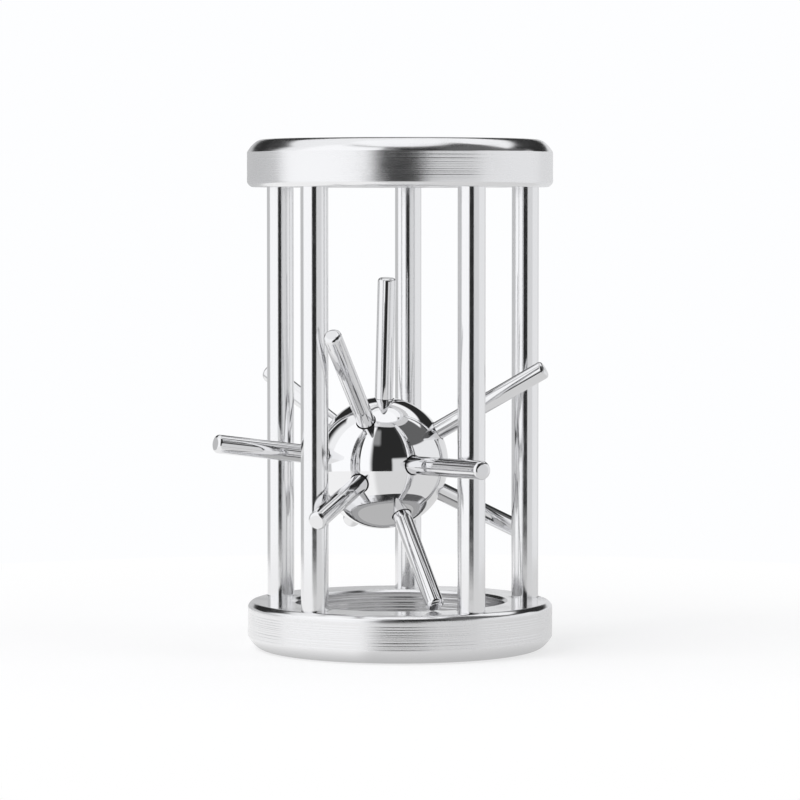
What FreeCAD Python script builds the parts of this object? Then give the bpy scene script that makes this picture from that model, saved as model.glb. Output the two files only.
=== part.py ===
import FreeCAD, Part
import Sketcher
import os

# A caged ball puzzle. Two thick turned rings are held apart by five round bars, and the cage they
# make holds a polished ball with ten straight pins, which stick out between the bars.
# Millimetres, +Z up. The origin is the centre of the bottom ring's lower face, and the cage's
# front faces -Y. A turn is an angle in plan from the front, anticlockwise seen from above.
# A rise is an angle above the horizontal.

SIZES = {
    # cage
    "cage_height": 75.0,
    "ring_thickness": 7.0,
    "hole_diameter": 31.0,
    "inner_wall": 1.7,  # metal between the hole and a bar's seat
    "outer_wall": 1.3,  # metal between a bar's seat and the rim
    "rim_chamfer": 1.9,  # the wide bevel of each ring's outer end
    "rim_break": 0.6,  # the small bevel where the side meets the barred face
    "hole_break": 0.4,
    # bars
    "bar_count": 5,
    "bar_diameter": 4.0,
    "bar_seat_depth": 4.5,
    "bar_end_break": 0.4,
    "first_bar_turn": -39.75,
    # ball
    "ball_diameter": 19.4,
    "ball_x": -2.6,
    "ball_y": -0.75,
    # pins
    "pin_diameter": 2.7,
    "pin_seat_depth": 4.0,
    "pin_tip_break": 0.35,
    "seat_mouth_break": 0.15,
    # fits
    "press_interference": 0.01,  # on the radius, of bars and pins in their seats
    "seat_end_gap": 0.3,  # room left at the bottom of each seat
    "rest_gap": 0.02,  # between the foot pin and the face that it stands on
    # the pin that points up through the top ring's hole
    "pin_1_turn": 14.0,
    "pin_1_rise": 84.0,
    "pin_1_reach": 27.5,
    # pins that pass between the bars: the gap to the bar beside each one, its rise, and the
    # distance from the ball's centre to its tip
    "pin_2_gap": 1.1,
    "pin_2_rise": 42.5,
    "pin_2_reach": 28.9,
    "pin_3_gap": 2.3,
    "pin_3_rise": 26.5,
    "pin_3_reach": 28.3,
    "pin_4_gap": 4.4,
    "pin_4_rise": 7.6,
    "pin_4_reach": 27.5,
    "pin_5_gap": 0.7,
    "pin_5_rise": -14.5,
    "pin_5_reach": 26.7,
    "pin_6_gap": 5.8,
    "pin_6_rise": 30.2,
    "pin_6_reach": 28.0,
    "pin_7_gap": 0.5,
    "pin_7_rise": 1.3,
    "pin_7_reach": 29.9,
    "pin_8_gap": 1.9,
    "pin_8_rise": -24.9,
    "pin_8_reach": 27.9,
    "pin_10_gap": 4.2,
    "pin_10_rise": -21.9,
    "pin_10_reach": 28.1,
    # the foot pin stands on the bottom ring, this far out from the hole's edge
    "pin_9_turn": 27.0,
    "pin_9_rise": -49.1,
    "pin_9_inset": 1.3,
}

# pin: the bar that it passes, and 1 or -1 for the side, further round in turn or less
PASSES = {2: (1, 1), 3: (5, -1), 4: (1, -1), 5: (1, 1), 6: (3, -1), 7: (2, -1), 8: (3, 1), 10: (4, 1)}
PINS = range(1, 11)
FOOT_PIN = 9
NEAR = 1e-4

# what follows from the sizes
BAR_RADIUS = "(Sizes.bar_diameter / 2)"
PIN_RADIUS = "(Sizes.pin_diameter / 2)"
BALL_RADIUS = "(Sizes.ball_diameter / 2)"
HOLE_RADIUS = "(Sizes.hole_diameter / 2)"
BAR_CIRCLE = f"({HOLE_RADIUS} + Sizes.inner_wall + {BAR_RADIUS})"
RIM_RADIUS = f"({BAR_CIRCLE} + {BAR_RADIUS} + Sizes.outer_wall)"
BAR_LENGTH = "(Sizes.cage_height - 2 * Sizes.ring_thickness + 2 * Sizes.bar_seat_depth)"

doc = FreeCAD.newDocument("CagedBall")
sheet = doc.addObject("Spreadsheet::Sheet", "Sizes")
for row, (name, size) in enumerate(SIZES.items(), 1):
    sheet.set(f"A{row}", name)
    sheet.set(f"B{row}", str(size))
    sheet.setAlias(f"B{row}", name)
doc.recompute()


def value(expression):
    """The number that an expression over the sheet gives now."""
    return float(sheet.evalExpression(expression))


def bar_turn(number):
    return f"(Sizes.first_bar_turn + {number - 1} * 360 / Sizes.bar_count)"


def bar_place(number):
    """A bar's axis in plan, as expressions for x and y."""
    turn = bar_turn(number)
    return f"({BAR_CIRCLE} * sin({turn}))", f"(0 - {BAR_CIRCLE} * cos({turn}))"


def turn_past_bar(pin, bar, side):
    """The turn that carries a pin past a bar with the pin's own gap between them."""
    x, y = bar_place(bar)
    dx, dy = f"({x} - Sizes.ball_x)", f"({y} - Sizes.ball_y)"
    aside = f"asin((Sizes.pin_{pin}_gap + {BAR_RADIUS} + {PIN_RADIUS}) / hypot({dx}; {dy}))"
    return f"(atan2({dx}; 0 - {dy}) + {side} * {aside})"


def pin_turn(pin):
    return turn_past_bar(pin, *PASSES[pin]) if pin in PASSES else f"Sizes.pin_{pin}_turn"


def foot_reach():
    """The foot pin's length from the ball's centre to where its tip stands on the bottom ring."""
    turn = f"Sizes.pin_{FOOT_PIN}_turn"
    along = f"(Sizes.ball_x * sin({turn}) - Sizes.ball_y * cos({turn}))"
    stand = f"({HOLE_RADIUS} + Sizes.pin_{FOOT_PIN}_inset)"
    plan = f"(sqrt({along} ^ 2 - Sizes.ball_x ^ 2 - Sizes.ball_y ^ 2 + {stand} ^ 2) - {along})"
    return f"({plan} / cos(Sizes.pin_{FOOT_PIN}_rise))"


def pin_reach(pin):
    return foot_reach() if pin == FOOT_PIN else f"Sizes.pin_{pin}_reach"


def ball_height():
    """The height of the ball's centre with the lowest rim of the foot pin's tip at rest."""
    rise = f"Sizes.pin_{FOOT_PIN}_rise"
    end_rim = f"(({PIN_RADIUS} - Sizes.pin_tip_break) * cos({rise}))"
    side_rim = f"({PIN_RADIUS} * cos({rise}) + Sizes.pin_tip_break * sin({rise}))"
    drop = f"(0 - {foot_reach()} * sin({rise}) + max({end_rim}; {side_rim}))"
    return f"(Sizes.ring_thickness + Sizes.rest_gap + {drop})"


def placed(x="0", y="0", z="0", yaw="0", roll="0"):
    return f"placement(vector({x}; {y}; {z}); rotation({yaw}; 0; {roll}))"


BALL_CENTRE = placed("Sizes.ball_x", "Sizes.ball_y", ball_height())


def along_pin(pin, distance="0"):
    """A place on a pin's axis, in the ball's own frame, with Z along the pin."""
    aim = placed(yaw=pin_turn(pin), roll=f"90 - Sizes.pin_{pin}_rise")
    return f"{aim} * {placed(z=distance)}"


def new_body(label):
    body = doc.addObject("PartDesign::Body", label)
    body.Label = label
    return body


def new_feature(body, kind, name, **sizes):
    """A feature of a body, with its named properties bound to expressions."""
    feature = body.newObject(f"PartDesign::{kind}", f"{body.Label}_{name}")
    for key, expression in sizes.items():
        feature.setExpression(key, expression)
    return feature


def sketch_on_base(body, name, height="0", turn="0"):
    """A sketch parallel to the body's XY plane, raised and turned."""
    sketch = body.newObject("Sketcher::SketchObject", f"{body.Label}_{name}")
    plane = next(f for f in body.Origin.OriginFeatures if f.Role == "XY_Plane")
    sketch.AttachmentSupport = [(plane, "")]
    sketch.MapMode = "FlatFace"
    sketch.setExpression("AttachmentOffset", placed(z=height, yaw=turn))
    return sketch


def add_circle(sketch, radius, distance=None):
    """A circle about the sketch's origin, or with its centre out along the sketch's X axis."""
    far = value(distance) if distance else 0
    centre = FreeCAD.Vector(far, 0, 0)
    circle = sketch.addGeometry(Part.Circle(centre, FreeCAD.Vector(0, 0, 1), value(radius)))
    if distance:
        sketch.addConstraint(Sketcher.Constraint("PointOnObject", circle, 3, -1))
        bound = sketch.addConstraint(Sketcher.Constraint("DistanceX", -1, 1, circle, 3, far))
        sketch.setExpression(f"Constraints[{bound}]", distance)
    else:
        sketch.addConstraint(Sketcher.Constraint("Coincident", circle, 3, -1, 1))
    bound = sketch.addConstraint(Sketcher.Constraint("Radius", circle, value(radius)))
    sketch.setExpression(f"Constraints[{bound}]", radius)


def round_edges(shape, radius, heights):
    """The names of the full circles of a radius at any of some heights."""
    names = []
    for number, edge in enumerate(shape.Edges, 1):
        curve = edge.Curve
        if isinstance(curve, Part.Circle) and abs(curve.Radius - value(radius)) < NEAR:
            if any(abs(curve.Center.z - value(height)) < NEAR for height in heights):
                names.append(f"Edge{number}")
    return names


def bevel(body, base, name, size, radius, *heights):
    """A 45-degree bevel on round edges of the feature before it."""
    doc.recompute()
    feature = new_feature(body, "Chamfer", name, Size=size)
    feature.Base = (base, round_edges(base.Shape, radius, heights))
    return feature


def must_cut(feature, base):
    """Stop if a cut took nothing away."""
    doc.recompute()
    if feature.Shape.Volume > base.Shape.Volume - NEAR:
        raise RuntimeError(f"{feature.Name} cuts nothing")


def turned_ring(label, placement, facing):
    """A ring in its own frame: its wide bevel is at Z = 0, and the bars enter the face at Z = thickness.

    facing is 1, or -1 for a ring that is laid on the bars upside down.
    """
    body = new_body(label)
    outline = sketch_on_base(body, "outline")
    add_circle(outline, RIM_RADIUS)
    add_circle(outline, HOLE_RADIUS)
    blank = new_feature(body, "Pad", "blank", Length="Sizes.ring_thickness")
    blank.Profile = outline
    barred = "Sizes.ring_thickness"
    wide = bevel(body, blank, "rim_chamfer", "Sizes.rim_chamfer", RIM_RADIUS, "0")
    small = bevel(body, wide, "rim_break", "Sizes.rim_break", RIM_RADIUS, barred)
    eased = bevel(body, small, "hole_break", "Sizes.hole_break", HOLE_RADIUS, "0", barred)
    doc.recompute()
    first_seat = f"{facing} * ({bar_turn(1)} - 90)"
    seat_circle = sketch_on_base(body, "seat_circle", barred, first_seat)
    add_circle(seat_circle, f"({BAR_RADIUS} - Sizes.press_interference)", BAR_CIRCLE)
    seat = new_feature(body, "Pocket", "seat", Length="Sizes.bar_seat_depth + Sizes.seat_end_gap")
    seat.Profile = seat_circle
    must_cut(seat, eased)
    seats = new_feature(body, "PolarPattern", "seats", Occurrences="Sizes.bar_count")
    seats.Originals = [seat]
    seats.Axis = (next(f for f in body.Origin.OriginFeatures if f.Role == "Z_Axis"), [""])
    body.Tip = seats
    must_cut(seats, seat)
    body.setExpression("Placement", placement)
    return body


def round_rod(label, radius, start, length, end_break, broken_ends, placement):
    """A straight rod along its own Z, with its named ends bevelled."""
    body = new_body(label)
    outline = sketch_on_base(body, "outline", start)
    add_circle(outline, radius)
    stock = new_feature(body, "Pad", "stock", Length=length)
    stock.Profile = outline
    bevel(body, stock, "end_break", end_break, radius, *broken_ends)
    body.setExpression("Placement", placement)
    return body


def bar(number):
    x, y = bar_place(number)
    foot = "Sizes.ring_thickness - Sizes.bar_seat_depth"
    ends = ("0", BAR_LENGTH)
    where = placed(x, y, foot)
    return round_rod(f"bar_{number}", BAR_RADIUS, "0", BAR_LENGTH, "Sizes.bar_end_break", ends, where)


def pin(number):
    """A pin pressed into the ball, in a frame with Z along the pin from the ball's centre."""
    inner = f"({BALL_RADIUS} - Sizes.pin_seat_depth)"
    reach = pin_reach(number)
    where = f"{BALL_CENTRE} * {along_pin(number)}"
    length = f"({reach} - {inner})"
    return round_rod(f"pin_{number}", PIN_RADIUS, inner, length, "Sizes.pin_tip_break", (reach,), where)


def drilled_seat(number):
    """The cutters for one pin's blind hole and for the eased edge of its mouth."""
    radius = f"({PIN_RADIUS} - Sizes.press_interference)"
    depth = "(Sizes.pin_seat_depth + Sizes.seat_end_gap)"
    mouth = f"sqrt({BALL_RADIUS} ^ 2 - {radius} ^ 2)"
    drill = doc.addObject("Part::Cylinder", f"drill_{number}")
    drill.setExpression("Radius", radius)
    drill.setExpression("Height", f"2 * {depth}")
    drill.setExpression("Placement", along_pin(number, f"{BALL_RADIUS} - {depth}"))
    easing = doc.addObject("Part::Cone", f"easing_{number}")
    easing.setExpression("Radius1", radius)
    easing.setExpression("Radius2", f"{radius} + 2 * Sizes.seat_mouth_break")
    easing.setExpression("Height", "2 * Sizes.seat_mouth_break")
    easing.setExpression("Placement", along_pin(number, f"{mouth} - Sizes.seat_mouth_break"))
    return [drill, easing]


def drilled_ball():
    blank = doc.addObject("Part::Sphere", "ball_blank")
    blank.setExpression("Radius", BALL_RADIUS)
    cutters = doc.addObject("Part::MultiFuse", "ball_cutters")
    cutters.Shapes = [tool for number in PINS for tool in drilled_seat(number)]
    ball = doc.addObject("Part::Cut", "ball")
    ball.Label = "ball"
    ball.Base = blank
    ball.Tool = cutters
    ball.setExpression("Placement", BALL_CENTRE)
    must_cut(ball, blank)
    return ball


turned_over = placed(z="Sizes.cage_height", roll="180")
parts = [turned_ring("bottom_ring", placed(), 1), turned_ring("top_ring", turned_over, -1)]
parts += [bar(number) for number in range(1, int(SIZES["bar_count"]) + 1)]
parts += [drilled_ball()]
parts += [pin(number) for number in PINS]
doc.recompute()

for item in doc.Objects:
    if {"Invalid", "Error"} & set(item.State):
        raise RuntimeError(f"{item.Name} failed: {item.State}")
for part in parts:
    if part.Shape.isNull() or not part.Shape.isValid() or len(part.Shape.Solids) != 1:
        raise RuntimeError(f"{part.Label} is not one valid solid")
os.makedirs("parts", exist_ok=True)
for part in parts:
    part.Shape.exportStep(f"parts/{part.Label}.step")
    print(f"{part.Label:12s} {part.Shape.Volume:10.2f} mm3")
print("ball centre height", round(value(ball_height()), 3))
print("foot pin reach", round(value(foot_reach()), 3))
print("ring diameter", round(2 * value(RIM_RADIUS), 3), "bar circle radius", round(value(BAR_CIRCLE), 3))
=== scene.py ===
# %% [markdown]
# # A caged ball puzzle in polished steel
# Two thick turned rings and five bars make a cage. A ball with ten pins is loose inside it. The
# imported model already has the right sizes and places, so every piece below is measured from it
# and then made again with the rounding, joints and finishes that a mirror surface needs.

# %% Load the frame
import math
import bpy
import numpy as np
from mathutils import Matrix, Vector


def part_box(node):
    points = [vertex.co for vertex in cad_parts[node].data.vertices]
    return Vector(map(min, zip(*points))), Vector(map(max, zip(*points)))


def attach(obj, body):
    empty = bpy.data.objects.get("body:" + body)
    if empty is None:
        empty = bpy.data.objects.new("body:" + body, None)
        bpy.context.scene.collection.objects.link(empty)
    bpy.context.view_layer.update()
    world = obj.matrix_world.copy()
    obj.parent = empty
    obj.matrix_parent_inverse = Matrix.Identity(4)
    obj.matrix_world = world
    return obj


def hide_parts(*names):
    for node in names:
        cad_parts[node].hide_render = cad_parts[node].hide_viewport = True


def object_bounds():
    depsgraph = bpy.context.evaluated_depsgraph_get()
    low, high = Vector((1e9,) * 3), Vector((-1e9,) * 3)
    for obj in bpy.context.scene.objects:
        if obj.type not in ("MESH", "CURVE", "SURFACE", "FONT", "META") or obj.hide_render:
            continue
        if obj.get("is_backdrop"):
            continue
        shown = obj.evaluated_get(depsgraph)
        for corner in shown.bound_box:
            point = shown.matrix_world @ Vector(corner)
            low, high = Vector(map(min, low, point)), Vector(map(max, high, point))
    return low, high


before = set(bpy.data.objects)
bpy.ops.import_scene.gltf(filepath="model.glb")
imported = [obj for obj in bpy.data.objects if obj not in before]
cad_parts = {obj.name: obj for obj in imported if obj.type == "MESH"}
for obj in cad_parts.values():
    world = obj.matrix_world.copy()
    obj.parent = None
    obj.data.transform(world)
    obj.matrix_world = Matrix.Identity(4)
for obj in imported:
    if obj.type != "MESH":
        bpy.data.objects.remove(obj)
cad_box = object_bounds()
MM = 0.001
print("size in mm", [round(v / MM, 2) for v in cad_box[1] - cad_box[0]])

# %% [markdown]
# ## The camera
# A long lens from about half a metre keeps the bars nearly parallel, as a product picture does.
# The camera looks slightly down, so the top of the lower ring shows as a thin ellipse and the
# top of the upper ring is just out of sight.

# %% Place the camera
CAMERA_PLACE = (0.0, -0.560, 0.0655)
LOOKS_DOWN = 2.95  # degrees below the level
camera_data = bpy.data.cameras.new("camera")
camera_data.sensor_width = 36.0
camera_data.lens = 171.0
camera_data.clip_start = 0.01
camera = bpy.data.objects.new("camera", camera_data)
camera.location = CAMERA_PLACE
camera.rotation_euler = (math.radians(90 - LOOKS_DOWN), 0, 0)
bpy.context.scene.collection.objects.link(camera)
bpy.context.scene.camera = camera
print("camera", tuple(round(v, 4) for v in camera.location), "lens", camera_data.lens)

# %% [markdown]
# ## A helper for node trees
# Shaders, the world and Geometry Nodes are all node trees. This helper adds one node, sets its
# properties, and fills its inputs: a value is typed in, and another node's output is linked.


# %% Add and link nodes
def put(tree, kind, *inputs, **properties):
    """A new node. Each input is a value, an output to link, or None to leave it alone."""
    node = tree.nodes.new(kind)
    for name, setting in properties.items():
        setattr(node, name, setting)
    feed(tree, node, dict(enumerate(inputs)))
    return node


def feed(tree, node, inputs):
    """Fills a node's inputs by number or name."""
    for key, source in inputs.items():
        if isinstance(source, bpy.types.NodeSocket):
            tree.links.new(source, node.inputs[key])
        elif source is not None:
            node.inputs[key].default_value = source


def math_node(tree, operation, *inputs):
    return put(tree, "ShaderNodeMath", *inputs, operation=operation).outputs[0]


def ramp_between(tree, value, low, high, start=0.0, end=1.0):
    """Eases from start to end while value goes from low to high."""
    kind = "ShaderNodeMapRange"
    return put(tree, kind, value, low, high, start, end, interpolation_type="SMOOTHSTEP").outputs[0]


# %% [markdown]
# ## The studio
# Polished steel has almost no colour of its own: what is seen is the room. So the room is
# drawn with care. A softbox fills the left side, a panel stands on the right, and a large white
# light hangs overhead. Between them the room stays dark, and those dark gaps draw the streaks
# along the bars and the arcs on the ball. The camera itself sees only a plain pale ground.
#
# The world shader gets a direction for every ray. Its turn round the object, counted from the
# camera's side with the right as positive, and its height above the horizon say which panel the
# ray meets. Both are in degrees. Low panels reach 30 degrees below the horizon, because the
# floor is a small disc and their light has to go on past its edge.


# %% Turn a direction into degrees
world = bpy.data.worlds.new("studio")
world.use_nodes = True
bpy.context.scene.world = world
sky = world.node_tree
sky.nodes.clear()
direction = put(sky, "ShaderNodeTexCoord").outputs["Generated"]
axes = put(sky, "ShaderNodeSeparateXYZ", direction).outputs
forward = math_node(sky, "MULTIPLY", axes["Y"], -1.0)
around = math_node(sky, "DEGREES", math_node(sky, "ARCTAN2", axes["X"], forward))
height = math_node(sky, "DEGREES", math_node(sky, "ARCSINE", axes["Z"]))
print("world nodes for a direction", len(sky.nodes))


# %% Hang the panels
def band(value, low, high, soft):
    """1 between low and high, fading to 0 over a soft edge outside them."""
    rise = ramp_between(sky, value, low - soft, low)
    fall = ramp_between(sky, value, high, high + soft, 1.0, 0.0)
    return math_node(sky, "MULTIPLY", rise, fall)


def panel(turns, heights, soft, strength):
    """The light of one panel, as wide and high as its turns and heights in degrees."""
    shape = math_node(sky, "MULTIPLY", band(around, *turns, soft), band(height, *heights, soft))
    return math_node(sky, "MULTIPLY", shape, strength)


# Each panel: its turns from and to, its heights from and to, its soft edge, all in degrees, and
# its strength. Where two panels meet, the stronger one counts.
PANELS = {
    "left softbox": ((-98, -24), (-30, 64), 9.0, 1.08),
    "left softbox, upper": ((-114, -50), (16, 58), 16.0, 0.95),
    "right panel": ((63, 128), (-30, 27), 2.5, 0.88),
    "softbox's dim edge": ((-32, -8), (38, 58), 9.0, 0.28),
    "front right, low": ((20, 63), (-30, 8), 5.0, 0.74),
    "front right, middle": ((50, 116), (22, 58), 14.0, 0.13),
    "back left wall": ((-200, -98), (-30, 12), 3.0, 0.58),
    "back right wall": ((128, 200), (-30, 12), 3.0, 0.78),
    "overhead light": ((-200, 200), (72, 100), 3.0, 1.05),
    "overhead, behind": ((-200, -80), (44, 90), 4.0, 0.95),
    "overhead, behind right": ((112, 200), (42, 76), 4.0, 1.0),
}
ROOM = 0.025  # the dark room between the panels
light = ROOM
for name, (turns, heights, soft, strength) in PANELS.items():
    light = math_node(sky, "MAXIMUM", light, panel(turns, heights, soft, strength))
print("panels", list(PANELS))

# %% [markdown]
# A Light Path node tells a ray from the camera from a ray that has bounced. The camera's rays
# get the plain ground, and everything else gets the panels.

# %% Show the camera a plain ground
GROUND = 1.0  # the strength of the ground that the camera sees
seen = put(sky, "ShaderNodeLightPath").outputs["Is Camera Ray"]
strength = put(sky, "ShaderNodeMix", seen, None, light, GROUND).outputs[0]
shown = put(sky, "ShaderNodeBackground", (0.985, 0.99, 1.0, 1.0), strength)
put(sky, "ShaderNodeOutputWorld", shown.outputs[0])
bpy.context.scene.view_settings.view_transform = "Standard"
print("world nodes", len(sky.nodes))

# %% [markdown]
# ## The floor and the lights
# The floor is a plain pale disc, 30 cm across. Near the object it takes a soft shadow. Further
# out it glows just enough to meet the pale ground, so no line crosses the picture. What the
# polished steel sees of the floor is a glow of painted light, a little greyer than the ground:
# painted brighter on the softbox's side, and with a painted shadow under the object. The
# floor's edge is what ends the dark streaks on the bars and pins.

# %% Lay the floor
FLOOR_RADIUS = 0.15
FLOOR_DROP = 0.05 * MM  # keeps the floor just clear of the lower ring
SHADOW_ENDS = (0.045, 0.142)  # from here to here the shaded floor turns into plain ground
# Painted light: in the steel the floor's glow is painted brighter on the softbox's side, the left.
LEFT_LIGHT, RIGHT_LIGHT = 0.96, 0.72  # how bright the floor's two sides look in the steel
LEFT_TO_RIGHT = (-0.34, -0.16)  # where one side turns into the other, as x over distance
# Painted shadow: in the steel the floor's glow is painted darker under the object, as if in its
# shadow.
PAINTED_SHADE_UNDER = 0.50  # and how bright the floor under the object looks
PAINTED_SHADE_SPAN = (0.0195, 0.0245)
floor_mesh = bpy.data.meshes.new("floor")
turns = np.linspace(0, 2 * math.pi, 96, endpoint=False)
rim = [(FLOOR_RADIUS * math.cos(t), FLOOR_RADIUS * math.sin(t), -FLOOR_DROP) for t in turns]
floor_mesh.from_pydata(rim, [], [list(range(len(rim)))])
floor = bpy.data.objects.new("floor", floor_mesh)
bpy.context.scene.collection.objects.link(floor)
pale = bpy.data.materials.new("pale_floor")
pale.use_nodes = True
tree = pale.node_tree
tree.nodes.clear()
place = put(tree, "ShaderNodeTexCoord").outputs["Object"]
distance = put(tree, "ShaderNodeVectorMath", place, operation="LENGTH").outputs["Value"]
far = ramp_between(tree, distance, *SHADOW_ENDS)
matt = put(tree, "ShaderNodeBsdfDiffuse", (0.45, 0.45, 0.455, 1.0)).outputs[0]
glow = put(tree, "ShaderNodeEmission", (1.0, 1.0, 1.0, 1.0), 0.60).outputs[0]
both = put(tree, "ShaderNodeAddShader", matt, glow).outputs[0]
edge = put(tree, "ShaderNodeEmission", (1.0, 1.0, 1.0, 1.0), GROUND).outputs[0]
near_or_far = put(tree, "ShaderNodeMixShader", far, both, edge).outputs[0]
toward_left = put(tree, "ShaderNodeSeparateXYZ", place).outputs["X"]
toward_left = math_node(tree, "DIVIDE", toward_left, distance)
outside = ramp_between(tree, toward_left, *LEFT_TO_RIGHT, LEFT_LIGHT, RIGHT_LIGHT)
shaded = ramp_between(tree, distance, *PAINTED_SHADE_SPAN)
lit = put(tree, "ShaderNodeMix", shaded, None, PAINTED_SHADE_UNDER, outside).outputs[0]
# The steel sees the floor as this glow, with its painted side light and painted shadow.
reflected = put(tree, "ShaderNodeEmission", (1.0, 1.0, 1.0, 1.0), lit).outputs[0]
mirrored = put(tree, "ShaderNodeLightPath").outputs["Is Glossy Ray"]
mixed = put(tree, "ShaderNodeMixShader", mirrored, near_or_far, reflected).outputs[0]
put(tree, "ShaderNodeOutputMaterial", mixed)
floor_mesh.materials.append(pale)
floor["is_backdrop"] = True
print("floor radius", FLOOR_RADIUS, "m")


# %% Hang two soft lights
OBJECT_MIDDLE = Vector((0, 0, 0.035))


def soft_light(name, place, size, power):
    """A square area light aimed at the middle of the object, unseen in reflections."""
    data = bpy.data.lights.new(name, "AREA")
    data.size = size
    data.energy = power
    lamp = bpy.data.objects.new(name, data)
    lamp.location = place
    toward = OBJECT_MIDDLE - Vector(place)
    lamp.rotation_euler = toward.to_track_quat("-Z", "Y").to_euler()
    lamp.visible_glossy = False
    bpy.context.scene.collection.objects.link(lamp)
    return lamp


soft_light("key", (-0.45, -0.35, 0.60), 0.45, 1.6)
soft_light("fill", (0.50, -0.20, 0.45), 0.45, 0.9)

# %% [markdown]
# ## Finishes
# All the metal is the same steel, and what differs is how it was worked. The ball and the bars
# are polished and plated: almost a perfect mirror, with faint haze where fingers have been. The
# rings come from a lathe, and their sides keep the marks of the tool. The finest marks are a few
# hundredths of a millimetre wide, so they are made with a bump map. What can be seen as shape,
# such as the bevels, the seats and the broader grooves, is real geometry further down.

# %% Start a metal
def object_place(tree):
    """Where a point lies in the object's own coordinates."""
    return put(tree, "ShaderNodeTexCoord").outputs["Object"]


def new_metal(name, colour, roughness):
    """A metal with its colour and roughness set on the shader itself."""
    material = bpy.data.materials.new(name)
    material.use_nodes = True
    tree = material.node_tree
    shader = tree.nodes["Principled BSDF"]
    feed(tree, shader, {"Base Color": (*colour, 1.0), "Metallic": 1.0, "Roughness": roughness})
    return material, tree, shader


def noise(tree, vector, scale, detail=2.0, rough=0.5):
    """Soft random patches. The scale counts them per metre."""
    kind = "ShaderNodeTexNoise"
    return put(tree, kind, vector, None, scale, detail, rough).outputs["Fac"]


def lines(tree, position, scale, detail=2.0, rough=0.5):
    """Random lines across one direction, such as the marks of a lathe tool."""
    made = put(tree, "ShaderNodeTexNoise", noise_dimensions="1D")
    feed(tree, made, {"W": position, "Scale": scale, "Detail": detail, "Roughness": rough})
    return made.outputs["Fac"]


def bumps(tree, height, depth, under=None):
    """A normal from a height between 0 and 1, where 1 stands depth metres higher."""
    made = put(tree, "ShaderNodeBump")
    feed(tree, made, {"Strength": 1.0, "Distance": depth, "Height": height, "Normal": under})
    return made.outputs["Normal"]


print("helpers for metal are ready")

# %% [markdown]
# A mirror is never quite perfect. Large soft patches in the roughness are fingermarks and haze.
# A very shallow, wide bump bends the reflected edges a little, as plating over hand polishing
# does. Without it the reflections look drawn with a ruler.


# %% Polished metal for the ball
def polished(name, colour, haze, ripple):
    """A mirror finish. haze is the least and most roughness, ripple the bump's depth in metres."""
    material, tree, shader = new_metal(name, colour, haze[0])
    place = object_place(tree)
    marks = noise(tree, place, 260.0, 3.0, 0.6)
    specks = noise(tree, place, 5200.0, 2.0, 0.7)
    mixed = math_node(tree, "MULTIPLY_ADD", specks, 0.25, marks)
    feed(tree, shader, {"Roughness": ramp_between(tree, mixed, 0.35, 0.95, *haze)})
    wide = noise(tree, place, 190.0, 1.0, 0.4)
    feed(tree, shader, {"Normal": bumps(tree, wide, ripple)})
    return material


def joint_dirt(name):
    """A dark metal for the faces in a seat: painted shade for the dim inside of the seat, and
    polishing paste left in the joint.
    """
    material, tree, shader = new_metal(name, (0.05, 0.05, 0.052), 0.5)
    place = object_place(tree)
    grime = ramp_between(tree, noise(tree, place, 3000.0), 0.3, 0.7, 0.4, 0.65)
    feed(tree, shader, {"Roughness": grime})
    return material


seat_shade_and_paste_finish = joint_dirt("joint_dirt")
mirror_ball = polished("mirror_ball", (0.90, 0.90, 0.91), (0.012, 0.075), 26e-6)
print("finish", mirror_ball.name, "nodes", len(mirror_ball.node_tree.nodes))

# %% [markdown]
# The bars and pins are drawn rod. Drawing leaves faint lines along the length, and polishing
# takes most of them away. The pattern has to follow each rod, so it doesn't read the object's
# own coordinates: each rod carries an attribute, grain, that says how far along and how far
# round it a point lies.


# %% Drawn rod for bars and pins
ALONG = 0.035  # drawn marks are about thirty times as long as they are wide


def drawn(name, colour, haze, line_depth, ripple):
    """A drawn and polished rod, with its marks along the attribute grain."""
    material, tree, shader = new_metal(name, colour, haze[0])
    grain = put(tree, "ShaderNodeAttribute", attribute_name="grain").outputs["Vector"]
    stretched = put(tree, "ShaderNodeMapping", grain, None, None, (1.0, 1.0, ALONG)).outputs[0]
    fine = noise(tree, stretched, 4200.0, 2.0, 0.6)
    marks = noise(tree, grain, 420.0, 3.0, 0.6)
    mixed = math_node(tree, "MULTIPLY_ADD", fine, 0.35, marks)
    feed(tree, shader, {"Roughness": ramp_between(tree, mixed, 0.4, 1.05, *haze)})
    wide = bumps(tree, noise(tree, grain, 150.0, 1.0, 0.4), ripple)
    feed(tree, shader, {"Normal": bumps(tree, fine, line_depth, wide)})
    return material


bar_finish = drawn("drawn_bar", (0.86, 0.86, 0.87), (0.10, 0.19), 0.25e-6, 9e-6)
pin_finish = drawn("drawn_pin", (0.84, 0.84, 0.85), (0.02, 0.075), 0.12e-6, 4e-6)
print("finishes", bar_finish.name, pin_finish.name)

# %% [markdown]
# The rings are turned. On the side the tool's marks are level lines, so the pattern reads only
# the height above the table. On the flat faces they are circles, so it reads the distance from
# the middle. Few of the lines are deep and most are fine: two layers of noise add up to that.


# %% Turned steel for the rings
WANDER = 0.06 * MM  # how far a tool mark strays from a true line


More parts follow.
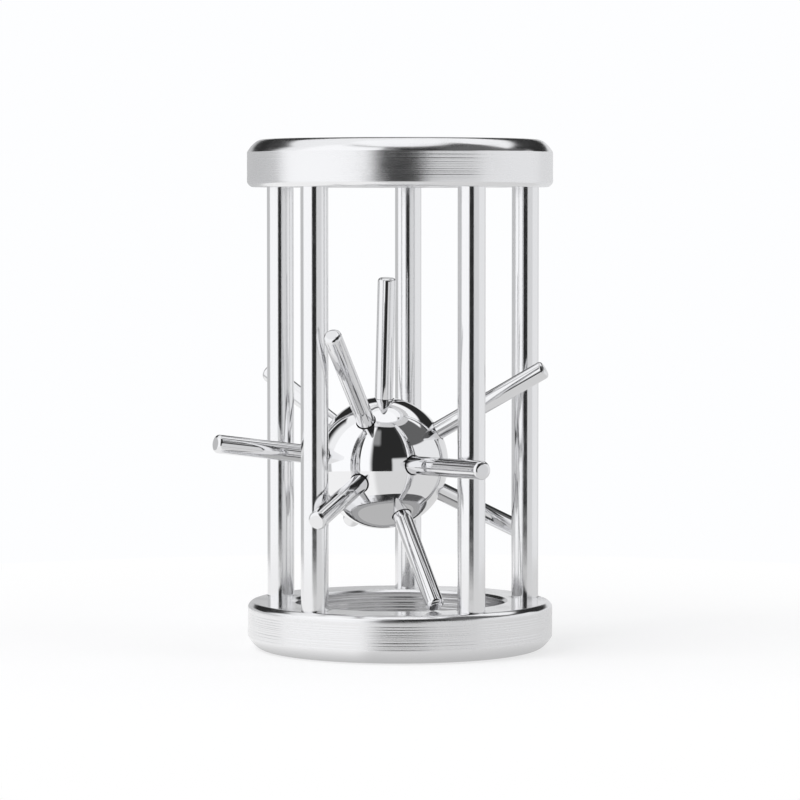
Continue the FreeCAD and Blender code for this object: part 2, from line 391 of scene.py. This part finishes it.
def turned(name, colour, haze, across, fine_depth, deep_depth):
    """Turned steel. across is the direction over the marks: HEIGHT or RADIUS."""
    material, tree, shader = new_metal(name, colour, haze[0])
    place = object_place(tree)
    parts = put(tree, "ShaderNodeSeparateXYZ", place).outputs
    if across == "HEIGHT":
        position = parts["Z"]
    else:
        squares = [math_node(tree, "MULTIPLY", parts[k], parts[k]) for k in ("X", "Y")]
        position = math_node(tree, "SQRT", math_node(tree, "ADD", *squares))
    wander = math_node(tree, "MULTIPLY", noise(tree, place, 60.0, 1.0), WANDER)
    position = math_node(tree, "ADD", position, wander)
    fine = lines(tree, position, 9000.0, 3.0, 0.7)
    deep = ramp_between(tree, lines(tree, position, 1500.0, 1.0), 0.60, 0.80)
    patches = noise(tree, place, 180.0, 2.0)
    mixed = math_node(tree, "MULTIPLY_ADD", fine, 0.6, patches)
    feed(tree, shader, {"Roughness": ramp_between(tree, mixed, 0.5, 1.2, *haze)})
    grooves = bumps(tree, math_node(tree, "MULTIPLY", deep, -1.0), deep_depth)
    feed(tree, shader, {"Normal": bumps(tree, fine, fine_depth, grooves)})
    return material


STEEL = (0.86, 0.86, 0.87)
side_finish = turned("turned_side", STEEL, (0.22, 0.32), "HEIGHT", 3e-6, 6e-6)
bore_finish = turned("turned_bore", (0.74, 0.74, 0.75), (0.12, 0.26), "HEIGHT", 4e-6, 9e-6)
face_finish = turned("turned_face", (0.88, 0.88, 0.89), (0.10, 0.24), "RADIUS", 0.5e-6, 3e-6)
print("finishes", side_finish.name, bore_finish.name, face_finish.name)

# %% [markdown]
# ## Growing shapes with Geometry Nodes
# The rings are lathe work, and the bars, the seats and the pins all repeat, so each of them is
# a rule rather than a shape drawn by hand. A small helper makes a node group with named inputs,
# and another one lays the group on an object, reads the result back as a plain mesh, and lets
# the group go.

# %% Start and end a tree
SOCKETS = {
    float: "NodeSocketFloat",
    int: "NodeSocketInt",
    bpy.types.Material: "NodeSocketMaterial",
}


def new_tree(name, inputs):
    """A Geometry Nodes tree. inputs maps each name to the type of value that it takes."""
    tree = bpy.data.node_groups.new(name, "GeometryNodeTree")
    face = tree.interface
    face.new_socket("Geometry", in_out="INPUT", socket_type="NodeSocketGeometry")
    for label, kind in inputs.items():
        face.new_socket(label, in_out="INPUT", socket_type=SOCKETS[kind])
    face.new_socket("Geometry", in_out="OUTPUT", socket_type="NodeSocketGeometry")
    return tree, put(tree, "NodeGroupInput").outputs


def end_tree(tree, geometry, material):
    """Every tree ends the same way: real faces, smooth, with their material."""
    real = put(tree, "GeometryNodeRealizeInstances", geometry).outputs[0]
    smooth = put(tree, "GeometryNodeSetShadeSmooth", real).outputs[0]
    named = put(tree, "GeometryNodeSetMaterial", smooth, None, material).outputs[0]
    put(tree, "NodeGroupOutput", named)


print("a tree can take", sorted(kind.__name__ for kind in SOCKETS))


# %% Bake a tree's result
def link_object(name, mesh):
    made = bpy.data.objects.new(name, mesh)
    bpy.context.scene.collection.objects.link(made)
    return made


def read_back(made):
    """The object's evaluated shape as a plain mesh, with its modifiers gone."""
    evaluated = made.evaluated_get(bpy.context.evaluated_depsgraph_get())
    mesh = bpy.data.meshes.new_from_object(evaluated)
    made.modifiers.clear()
    made.data = mesh
    mesh.name = made.name
    return made


def grow(name, start, tree, **inputs):
    """An object whose shape the tree makes from a start mesh and the named inputs."""
    made = link_object(name, start)
    modifier = made.modifiers.new("grow", "NODES")
    modifier.node_group = tree
    for item in tree.interface.items_tree:
        if item.in_out == "INPUT" and item.name.replace(" ", "_") in inputs:
            modifier[item.identifier] = inputs[item.name.replace(" ", "_")]
    return read_back(made)


def start_mesh(name, points, edges):
    mesh = bpy.data.meshes.new(name)
    mesh.from_pydata(points, edges, [])
    return mesh


def report(made):
    """Prints what a finished piece is made of."""
    low, high = (Vector(c) for c in (made.bound_box[0], made.bound_box[6]))
    size = [round(v / MM, 2) for v in high - low]
    print(f"{made.name}: {len(made.data.polygons)} faces, {size} mm")


print("helpers for growing shapes are ready")

# %% [markdown]
# ## Measuring the frame
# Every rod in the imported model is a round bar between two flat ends. Its axis runs from the
# middle of one end to the middle of the other, and the corners of those ends are its outermost
# points. The same reading gives the ball's centre and radius and the sizes of the rings.


# %% Measure a node by its corners
END_DEPTH = 0.1 * MM  # corners this close to a rod's end belong to its flat end
SKIN_DEPTH = 0.04 * MM  # corners this close to the outermost one lie on the sphere


def corners(node):
    """A node's corner points, each one once."""
    found = {tuple(round(x, 8) for x in v.co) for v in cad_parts[node].data.vertices}
    return np.array(sorted(found))


def middle(node):
    low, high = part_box(node)
    return np.array((low + high) / 2)


def end_middles(node, rough_axis):
    """The middles of a rod's two flat ends, the far one last."""
    points = corners(node)
    along = points @ rough_axis
    near = points[along < along.min() + END_DEPTH].mean(axis=0)
    far = points[along > along.max() - END_DEPTH].mean(axis=0)
    return near, far


def sphere_through(points, rough_centre):
    """The centre and radius of the sphere that the outermost points lie on, by least squares."""
    reach = np.linalg.norm(points - rough_centre, axis=1)
    skin = points[reach > reach.max() - SKIN_DEPTH]
    terms = np.c_[2 * skin, np.ones(len(skin))]
    *centre, rest = np.linalg.lstsq(terms, (skin**2).sum(axis=1), rcond=None)[0]
    return np.array(centre), math.sqrt(rest + float(np.dot(centre, centre)))


def rod_radius(node, near, far):
    """The largest distance of a rod's corners from its own axis."""
    axis = (far - near) / np.linalg.norm(far - near)
    out = corners(node) - near
    return float(np.linalg.norm(out - np.outer(out @ axis, axis), axis=1).max())


print("helpers for measuring are ready")

# %% Read the rods and the ball
BARS = sorted(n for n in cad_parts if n.startswith("bar_"))
PINS = sorted((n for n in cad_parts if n.startswith("pin_")), key=lambda n: int(n[4:]))
BALL_CENTRE, BALL_RADIUS = sphere_through(corners("ball"), middle("ball"))
UP = np.array([0.0, 0.0, 1.0])
bar_ends = [end_middles(n, UP) for n in BARS]
outward = [middle(n) - BALL_CENTRE for n in PINS]
pin_ends = [end_middles(n, v / np.linalg.norm(v)) for n, v in zip(PINS, outward)]
BAR_RADIUS = rod_radius(BARS[0], *bar_ends[0])
PIN_RADIUS = rod_radius(PINS[0], *pin_ends[0])
print("ball", [round(v / MM, 2) for v in BALL_CENTRE], "radius", round(BALL_RADIUS / MM, 3))
print("bar radius", round(BAR_RADIUS / MM, 3), "pin radius", round(PIN_RADIUS / MM, 3))

# %% [markdown]
# ## Round rods
# One tree makes every rod. It starts from a straight edge for each rod and slides a few points
# to its two ends, where they follow a quarter of a circle: the angle's cosine says how far a
# point lies from the end, and its sine how thick the rod is there. A circle swept along the edge
# then gives a rod with softly rounded ends, which is what tumbling in a barrel leaves.
#
# The tree also writes the attribute grain for the drawn finish: round the rod in X and Y, along
# it in Z, and a different stretch of the pattern for each rod.

# %% Build the rod tree
ROD_INPUTS = {"Radius": float, "End Round": float, "Steps": int, "Sides": int}
rods, given = new_tree("rods", {**ROD_INPUTS, "Finish": bpy.types.Material})
count = math_node(rods, "MULTIPLY_ADD", given["Steps"], 2.0, 3.0)
edges = put(rods, "GeometryNodeMeshToCurve", given["Geometry"]).outputs[0]
points = put(rods, "GeometryNodeResampleCurve", edges, None, count).outputs[0]
spline = put(rods, "GeometryNodeSplineParameter").outputs
length = put(rods, "GeometryNodeSplineLength").outputs["Length"]
from_far = math_node(rods, "SUBTRACT", math_node(rods, "SUBTRACT", count, 1.0), spline["Index"])
from_end = math_node(rods, "MINIMUM", spline["Index"], from_far)
is_middle = math_node(rods, "GREATER_THAN", from_end, math_node(rods, "ADD", given["Steps"], 0.5))
is_far = math_node(rods, "LESS_THAN", from_far, spline["Index"])
share = math_node(rods, "MINIMUM", math_node(rods, "DIVIDE", from_end, given["Steps"]), 1.0)
angle = math_node(rods, "MULTIPLY", share, math.pi / 2)
versine = math_node(rods, "SUBTRACT", 1.0, math_node(rods, "COSINE", angle))
inset = math_node(rods, "MULTIPLY", given["End Round"], versine)
halfway = math_node(rods, "MULTIPLY", length, 0.5)
inset = put(rods, "ShaderNodeMix", is_middle, None, inset, halfway).outputs[0]
from_start = math_node(rods, "SUBTRACT", length, inset)
along = put(rods, "ShaderNodeMix", is_far, None, inset, from_start).outputs[0]
print("rod tree, the stations along a rod:", len(rods.nodes), "nodes")

# %% Sweep a circle along the stations
ROD_SHIFT = 0.17  # each rod reads the drawn pattern this many metres further on
slide = math_node(rods, "SUBTRACT", along, spline["Length"])
tangent = put(rods, "GeometryNodeInputTangent").outputs[0]
move = put(rods, "ShaderNodeVectorMath", tangent, None, None, slide, operation="SCALE").outputs[0]
which = put(rods, "GeometryNodeCurveOfPoint").outputs["Curve Index"]
stretch = math_node(rods, "MULTIPLY_ADD", which, ROD_SHIFT, along)
marked = put(rods, "GeometryNodeStoreNamedAttribute", points, None, "along", stretch).outputs[0]
placed = put(rods, "GeometryNodeSetPosition", marked, None, None, move).outputs[0]
cosine_loss = math_node(rods, "SUBTRACT", 1.0, math_node(rods, "SINE", angle))
loss = math_node(rods, "MULTIPLY", given["End Round"], cosine_loss)
thickness = math_node(rods, "SUBTRACT", given["Radius"], loss)
circle = put(rods, "GeometryNodeCurvePrimitiveCircle", given["Sides"])
feed(rods, circle, {"Radius": 1.0})
where = put(rods, "GeometryNodeInputPosition").outputs[0]
rim = put(rods, "GeometryNodeStoreNamedAttribute", data_type="FLOAT_VECTOR")
feed(rods, rim, {"Geometry": circle.outputs[0], "Name": "round", "Value": where})
swept = put(rods, "GeometryNodeCurveToMesh", placed, rim.outputs[0], thickness, True).outputs[0]
print("rod tree, with its sweep:", len(rods.nodes), "nodes")


# %% Write the grain and end the tree
def read_attribute(tree, name, kind):
    return put(tree, "GeometryNodeInputNamedAttribute", name, data_type=kind).outputs[0]


circled = read_attribute(rods, "round", "FLOAT_VECTOR")
arm = put(rods, "ShaderNodeVectorMath", circled, None, None, given["Radius"], operation="SCALE")
rise = put(rods, "ShaderNodeCombineXYZ", 0.0, 0.0, read_attribute(rods, "along", "FLOAT"))
both = put(rods, "ShaderNodeVectorMath", arm.outputs[0], rise.outputs[0], operation="ADD")
grained = put(rods, "GeometryNodeStoreNamedAttribute", data_type="FLOAT_VECTOR")
feed(rods, grained, {"Geometry": swept, "Name": "grain", "Value": both.outputs[0]})
for spent in ("round", "along"):
    grained = put(rods, "GeometryNodeRemoveAttribute", grained.outputs[0], spent)
end_tree(rods, grained.outputs[0], given["Finish"])
print("rod tree complete:", len(rods.nodes), "nodes")

# %% [markdown]
# Smooth shading alone would bend the light on a flat end towards its rounded edge. Weighted
# normals let the large faces win, so flats stay flat and the narrow rounding takes the whole
# turn. That is what makes a bevel glint.


# %% Shade flats flat and roundings round
SHARP = math.radians(50)


def weigh_normals(made):
    """Normals that follow the larger face, baked into the mesh."""
    made.data.set_sharp_from_angle(angle=SHARP)
    weigh = made.modifiers.new("weigh", "WEIGHTED_NORMAL")
    weigh.mode = "FACE_AREA"
    weigh.weight = 100
    weigh.keep_sharp = True
    return read_back(made)


def grow_rods(name, ends, radius, end_round, finish):
    """Rods between pairs of end points, as one piece."""
    points = [tuple(p) for pair in ends for p in pair]
    pairs = [(i, i + 1) for i in range(0, len(points), 2)]
    start = start_mesh(name, points, pairs)
    sizes = {"Radius": radius, "End_Round": end_round, "Steps": 5, "Sides": 72}
    return weigh_normals(grow(name, start, rods, **sizes, Finish=finish))


BAR_END_ROUND, PIN_END_ROUND = 0.4 * MM, 0.58 * MM
bars = grow_rods("bars", bar_ends, BAR_RADIUS, BAR_END_ROUND, bar_finish)
pins = grow_rods("pins", pin_ends, PIN_RADIUS, PIN_END_ROUND, pin_finish)
report(bars)
report(pins)

# %% [markdown]
# ## Seats
# Bars and pins are pressed into drilled seats, and each seat has a small eased mouth. On the
# ball the faces in the seat get painted shade and polishing paste, which draws a thin dark line
# where a pin goes in. Both trees below cut seats, so one function adds the nodes for the cutter:
# a round plug that widens at its mouth.


# %% A cutter for drilled seats
PLUG_ABOVE = 0.6 * MM  # how far the plug stands out of its seat, so that it cuts cleanly
SEAT_ROOM = 0.01 * MM  # a seat's radius over that of its rod


def seat_cutter(tree, radius, depth, mouth):
    """A plug along Z, with its mouth at the origin and its drilled end below."""
    heights = put(tree, "GeometryNodeIndexSwitch", data_type="FLOAT")
    heights.index_switch_items.new()
    heights.index_switch_items.new()
    index = put(tree, "GeometryNodeInputIndex").outputs[0]
    below = math_node(tree, "MULTIPLY", depth, -1.0)
    lip = math_node(tree, "MULTIPLY", mouth, -1.0)
    above = math_node(tree, "ADD", mouth, PLUG_ABOVE)
    feed(tree, heights, {0: index, 1: below, 2: lip, 3: mouth, 4: above})
    level = put(tree, "ShaderNodeCombineXYZ", 0.0, 0.0, heights.outputs[0]).outputs[0]
    stations = put(tree, "GeometryNodeMeshLine", 4).outputs[0]
    stations = put(tree, "GeometryNodeSetPosition", stations, None, level).outputs[0]
    flare = math_node(tree, "MAXIMUM", math_node(tree, "ADD", heights.outputs[0], mouth), 0.0)
    flare = math_node(tree, "MINIMUM", flare, math_node(tree, "MULTIPLY", mouth, 2.0))
    width = math_node(tree, "ADD", radius, flare)
    marked = put(tree, "GeometryNodeStoreNamedAttribute", stations, None, "width", width)
    line = put(tree, "GeometryNodeMeshToCurve", marked.outputs[0]).outputs[0]
    circle = put(tree, "GeometryNodeCurvePrimitiveCircle", 48)
    feed(tree, circle, {"Radius": 1.0})
    scale = read_attribute(tree, "width", "FLOAT")
    return put(tree, "GeometryNodeCurveToMesh", line, circle.outputs[0], scale, True).outputs[0]


def cut_away(tree, body, cutters):
    """The body with the cutters taken out of it."""
    made = put(tree, "GeometryNodeMeshBoolean", operation="DIFFERENCE", solver="EXACT")
    real = put(tree, "GeometryNodeRealizeInstances", cutters).outputs[0]
    feed(tree, made, {"Mesh 1": body, "Mesh 2": real})
    return made.outputs[0]


print("seat cutter ready")

# %% [markdown]
# ## The rings
# A turned ring is one outline spun round an axis. The outline is a list of corners in the plane
# of radius and height, and each corner gets a small rounding, because a lathe tool never leaves
# a perfectly sharp edge and a sharp edge would never glint. The tree sweeps the outline round a
# circle and cuts the seats for the bars.


# %% Round the corners of an outline
def rounded(corners_and_radii, steps=4):
    """An outline whose corners are arcs. Each corner is (x, y, radius), and 0 keeps a point."""
    made = []
    total = len(corners_and_radii)
    for i, (x, y, radius) in enumerate(corners_and_radii):
        if radius == 0:
            made.append((x, y))
            continue
        here = np.array((x, y))
        before = np.array(corners_and_radii[i - 1][:2]) - here
        after = np.array(corners_and_radii[(i + 1) % total][:2]) - here
        before, after = before / np.linalg.norm(before), after / np.linalg.norm(after)
        opening = math.acos(float(before @ after))
        reach = radius / math.tan(opening / 2)
        inward = (before + after) / np.linalg.norm(before + after)
        centre = here + inward * radius / math.sin(opening / 2)
        first, final = here + before * reach - centre, here + after * reach - centre
        for step in range(steps + 1):
            mixed = first * math.sin((1 - step / steps) * (math.pi - opening))
            mixed = mixed + final * math.sin(step / steps * (math.pi - opening))
            made.append(tuple(centre + mixed / math.sin(math.pi - opening)))
    return made


ring_low, ring_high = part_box("bottom_ring")
RIM = float(ring_high.x)
THICK = float(ring_high.z - ring_low.z)
ring_corners = corners("bottom_ring")
BORE = float(np.linalg.norm(ring_corners[:, :2], axis=1).min())
WIDE, SMALL, EASED = 1.9 * MM, 0.6 * MM, 0.4 * MM  # the bevels of the rim and of the bore
in_mm = [round(v / MM, 2) for v in (RIM, BORE, THICK)]
print("ring, mm: rim", in_mm[0], "bore", in_mm[1], "thick", in_mm[2])

# %% [markdown]
# The wide bevel was polished by hand, so it is slightly crowned, and it runs over softly into the
# flat end. Its reflection therefore changes from one edge to the other, where a flat bevel would
# show one plain tone, and the soft edge draws a thin dark line. The bevel on the bars' side is
# rounded over as well.
#
# The side and the bore keep the grooves of the lathe tool. Each groove is a shallow wave a few
# tenths of a millimetre wide and a few hundredths deep at most, with its own width and depth,
# and four points are enough to draw it. The grooves are real geometry, because their slopes
# spread the reflection up and down and leave it sharp from side to side. That is what makes
# turned steel look turned.


# %% Crown the bevel and cut the grooves
CROWN_SHARES = (0.26, 0.87)  # the bow leaves room for the rounding at either end


def crown(start, end, rise, count):
    """Points on a shallow bow between two corners, bulging to the right of the way along it."""
    start, end = np.array(start), np.array(end)
    along = end - start
    outward = np.array((along[1], -along[0])) / np.linalg.norm(along)
    shares = np.linspace(*CROWN_SHARES, count)
    return [(*(start + along * t + outward * rise * 4 * t * (1 - t)), 0.0) for t in shares]


def grooves(x, low, high, inward, widths, slopes, seed):
    """Tool grooves on an upright wall from low to high. inward is the metal's side, 1 or -1."""
    draw = np.random.default_rng(seed)
    points, y = [], low
    while y < high - widths[1]:
        width, slope = draw.uniform(*widths), draw.uniform(*slopes)
        depth = slope * width / math.pi
        for quarter in range(4):
            cut = depth * (1 - math.cos(quarter * math.pi / 2)) / 2
            points.append((x + inward * cut, y + width * quarter / 4, 0.0))
        y += width
    return points + [(x, y, 0.0)]


print("helpers for the outline are ready")

# %% Write down a ring's outline
SIDE_GROOVES = ((0.16 * MM, 0.42 * MM), (0.05, 0.32))  # widths, then the steepest slopes
BORE_GROOVES = ((0.20 * MM, 0.55 * MM), (0.05, 0.34))
CROWN_RISE = 0.20 * MM
FOOT_ROUND, TOP_ROUND = 2.0 * MM, 0.7 * MM


def ring_outline(seed):
    """A ring's outline with its wide bevel below, as corners in radius and height."""
    foot, shoulder = (RIM - WIDE, 0.0), (RIM, WIDE)
    bevel = crown(foot, shoulder, CROWN_RISE, 9)
    side_span = (WIDE + 0.25 * MM, THICK - SMALL - 0.36 * MM)
    bore_span = (EASED + 0.1 * MM, THICK - EASED - 0.1 * MM)
    side = grooves(RIM, *side_span, -1, *SIDE_GROOVES, seed)
    bore = grooves(BORE, *bore_span, 1, *BORE_GROOVES, seed + 1)
    return [
        (BORE + EASED, 0.0, 0.12 * MM),
        (*foot, FOOT_ROUND),
        *bevel,
        (*shoulder, 0.25 * MM),
        *side,
        (RIM, THICK - SMALL, TOP_ROUND),
        (RIM - SMALL, THICK, TOP_ROUND),
        (BORE + EASED, THICK, 0.10 * MM),
        (BORE, THICK - EASED, 0.08 * MM),
        *reversed(bore),
        (BORE, EASED, 0.08 * MM),
    ]


print("outline points", len(rounded(ring_outline(1))))

# %% Build the ring tree
RING_INPUTS = {
    "Path": float,
    "Turns": int,
    "Seat Circle": float,
    "Seat Radius": float,
    "Seat Depth": float,
    "Mouth": float,
    "Seats": int,
    "First Turn": float,
    "Face": float,
    "Tip": float,
}
rings, given = new_tree("turned_ring", {**RING_INPUTS, "Finish": bpy.types.Material})
outline = put(rings, "GeometryNodeMeshToCurve", given["Geometry"]).outputs[0]
path = put(rings, "GeometryNodeCurvePrimitiveCircle", given["Turns"])
feed(rings, path, {"Radius": given["Path"]})
upright = put(rings, "GeometryNodeSetCurveNormal", path.outputs[0], mode="Z_UP").outputs[0]
lathed = put(rings, "GeometryNodeCurveToMesh", upright, outline).outputs[0]
circle = put(rings, "GeometryNodeMeshCircle", given["Seats"], given["Seat Circle"]).outputs[0]
turn = put(rings, "ShaderNodeCombineXYZ", 0.0, 0.0, given["First Turn"]).outputs[0]
lift = put(rings, "ShaderNodeCombineXYZ", 0.0, 0.0, given["Face"]).outputs[0]
spots = put(rings, "GeometryNodeTransform", circle, lift, turn).outputs[0]
plug = seat_cutter(rings, given["Seat Radius"], given["Seat Depth"], given["Mouth"])
tip = put(rings, "ShaderNodeCombineXYZ", given["Tip"], 0.0, 0.0).outputs[0]
aimed = put(rings, "GeometryNodeTransform", plug, None, tip).outputs[0]
plugs = put(rings, "GeometryNodeInstanceOnPoints", spots)
feed(rings, plugs, {"Instance": aimed})
end_tree(rings, cut_away(rings, lathed, plugs.outputs[0]), given["Finish"])
print("ring tree", len(rings.nodes), "nodes")

# %% [markdown]
# The two rings are the same piece, and the upper one is turned over. Its outline is therefore
# mirrored in height, and its seats open downwards. Afterwards each face of a ring gets the
# finish that the lathe left there: level lines on the side and in the bore, and circles on the
# flats and bevels.

# %% Place the seats and sort a ring's faces
MIDDLE_RADIUS = (RIM + BORE) / 2
SEAT_DEPTH = 4.8 * MM
SEAT_MOUTH = 0.06 * MM
seat_spots = np.array([(near + far) / 2 for near, far in bar_ends])[:, :2]
SEAT_CIRCLE = float(np.linalg.norm(seat_spots[0]))
FIRST_TURN = math.atan2(seat_spots[0][1], seat_spots[0][0])
FLAT_ENOUGH = 0.35  # a face whose normal rises more than this lies on a flat or a bevel


def finish_ring(made):
    """Sorts a ring's faces into side, bore and turned face."""
    made.data.materials.clear()
    for finish in (side_finish, bore_finish, face_finish):
        made.data.materials.append(finish)
    for face in made.data.polygons:
        out = math.hypot(face.center.x, face.center.y)
        if abs(face.normal.z) > FLAT_ENOUGH:
            face.material_index = 2
        else:
            face.material_index = 0 if out > MIDDLE_RADIUS else 1
    return made


print("seats on a circle of radius", round(SEAT_CIRCLE / MM, 2), "mm")


# %% Make both rings
def make_ring(name, node, facing, seed):
    """A ring in a node's place. facing is 1, or -1 for a ring turned over."""
    low, high = (corner.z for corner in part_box(node))
    heights = [(x, y if facing > 0 else THICK - y, r) for x, y, r in ring_outline(seed)]
    points = [(x - MIDDLE_RADIUS, -(y + low), 0.0) for x, y in rounded(heights)]
    if facing < 0:
        points.reverse()
    loop = [(i, (i + 1) % len(points)) for i in range(len(points))]
    sizes = {
        "Path": MIDDLE_RADIUS,
        "Turns": 192,
        "Seat_Circle": SEAT_CIRCLE,
        "Seat_Radius": BAR_RADIUS + SEAT_ROOM,
        "Seat_Depth": SEAT_DEPTH,
        "Mouth": SEAT_MOUTH,
        "Seats": len(BARS),
        "First_Turn": FIRST_TURN,
        "Face": high if facing > 0 else low,
        "Tip": 0.0 if facing > 0 else math.pi,
        "Finish": side_finish,
    }
    made = grow(name, start_mesh(name, points, loop), rings, **sizes)
    return finish_ring(weigh_normals(made))


lower = make_ring("ring_lower", "bottom_ring", 1, 11)
upper = make_ring("ring_upper", "top_ring", -1, 23)
report(lower)
report(upper)

# %% [markdown]
# ## The ball
# A mirror ball shows every flaw in its mesh, so it starts as a fine sphere of small triangles
# and its normals are then set from the sphere itself. The pins' seats are cut with the same
# plug as before, set on the points where the pins come out. The faces in the seats get a dark
# metal: painted shade for the dim inside of each seat, together with polishing paste in the joint.

# %% Build the ball tree
BALL_INPUTS = {
    "Radius": float,
    "Fineness": int,
    "Seat Radius": float,
    "Seat Depth": float,
    "Mouth": float,
}
balls, given = new_tree("drilled_ball", {**BALL_INPUTS, "Finish": bpy.types.Material})
sphere = put(balls, "GeometryNodeMeshIcoSphere", given["Radius"], given["Fineness"]).outputs[0]
plug = seat_cutter(balls, given["Seat Radius"], given["Seat Depth"], given["Mouth"])
outward = put(balls, "GeometryNodeInputPosition").outputs[0]
aim = put(balls, "FunctionNodeAlignRotationToVector", None, None, outward, axis="Z").outputs[0]
plugs = put(balls, "GeometryNodeInstanceOnPoints", given["Geometry"])
feed(balls, plugs, {"Instance": plug, "Rotation": aim})
end_tree(balls, cut_away(balls, sphere, plugs.outputs[0]), given["Finish"])
print("ball tree", len(balls.nodes), "nodes")

# %% Cut the ball and set its normals
ON_SPHERE = 0.012 * MM  # a corner this close to the sphere is part of its surface
ball_seat = PIN_RADIUS + SEAT_ROOM
to_mouth = math.sqrt(BALL_RADIUS**2 - ball_seat**2)
aims = [(far - near) / np.linalg.norm(far - near) for near, far in pin_ends]
mouths = [tuple(v * to_mouth) for v in aims]
sizes = {"Radius": BALL_RADIUS, "Fineness": 6, "Seat_Radius": ball_seat}
sizes |= {"Seat_Depth": 4.3 * MM, "Mouth": 0.15 * MM, "Finish": mirror_ball}
ball = grow("ball_drilled", start_mesh("ball", mouths, []), balls, **sizes)


def sphere_normals(made, radius):
    """Exact normals on a sphere about the origin, and flat faces in the seats, darkened with
    painted shade.
    """
    mesh = made.data
    mesh.materials.clear()
    for finish in (mirror_ball, seat_shade_and_paste_finish):
        mesh.materials.append(finish)
    normals = []
    for face in mesh.polygons:
        spots = [mesh.vertices[i].co for i in face.vertices]
        on_ball = all(abs(p.length - radius) < ON_SPHERE for p in spots)
        normals += [tuple(p.normalized() if on_ball else face.normal) for p in spots]
        face.material_index = 0 if on_ball else 1
    mesh.normals_split_custom_set(normals)


sphere_normals(ball, BALL_RADIUS)
ball.data.transform(Matrix.Translation(Vector(BALL_CENTRE)))
report(ball)

# %% [markdown]
# ## Riding on the frame
# Each piece rides on the body of the model it moves with, and the imported nodes it stands for are
# hidden.
# The rings and bars are the cage. The ball and its pins lift together.

# %% Ride on the bodies and hide the replaced nodes
RIDERS = [
    (lower, "cage", "ring_steel", ["bottom_ring"]),
    (upper, "cage", "ring_steel", ["top_ring"]),
    (bars, "cage", "bar_chrome", BARS),
    (ball, "spiked_ball", "ball_chrome", ["ball"]),
    (pins, "spiked_ball", "pin_chrome", PINS),
]
for piece, body, slot, nodes in RIDERS:
    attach(piece, body)
    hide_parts(*nodes)
    print(piece.name, "rides on", body, "and stands for", len(nodes), "nodes")

# %% [markdown]
# ## The sizes of both models
# The visual model has to fill the same box as the imported one. Both boxes are printed in
# millimetres.

# %% Print the sizes
visual_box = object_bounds()
sizes = {"cad": [list(c) for c in cad_box], "visual": [list(c) for c in visual_box]}
for label, (low, high) in (("cad", cad_box), ("visual", visual_box)):
    print(label, [round(v / MM, 2) for v in low], [round(v / MM, 2) for v in high])
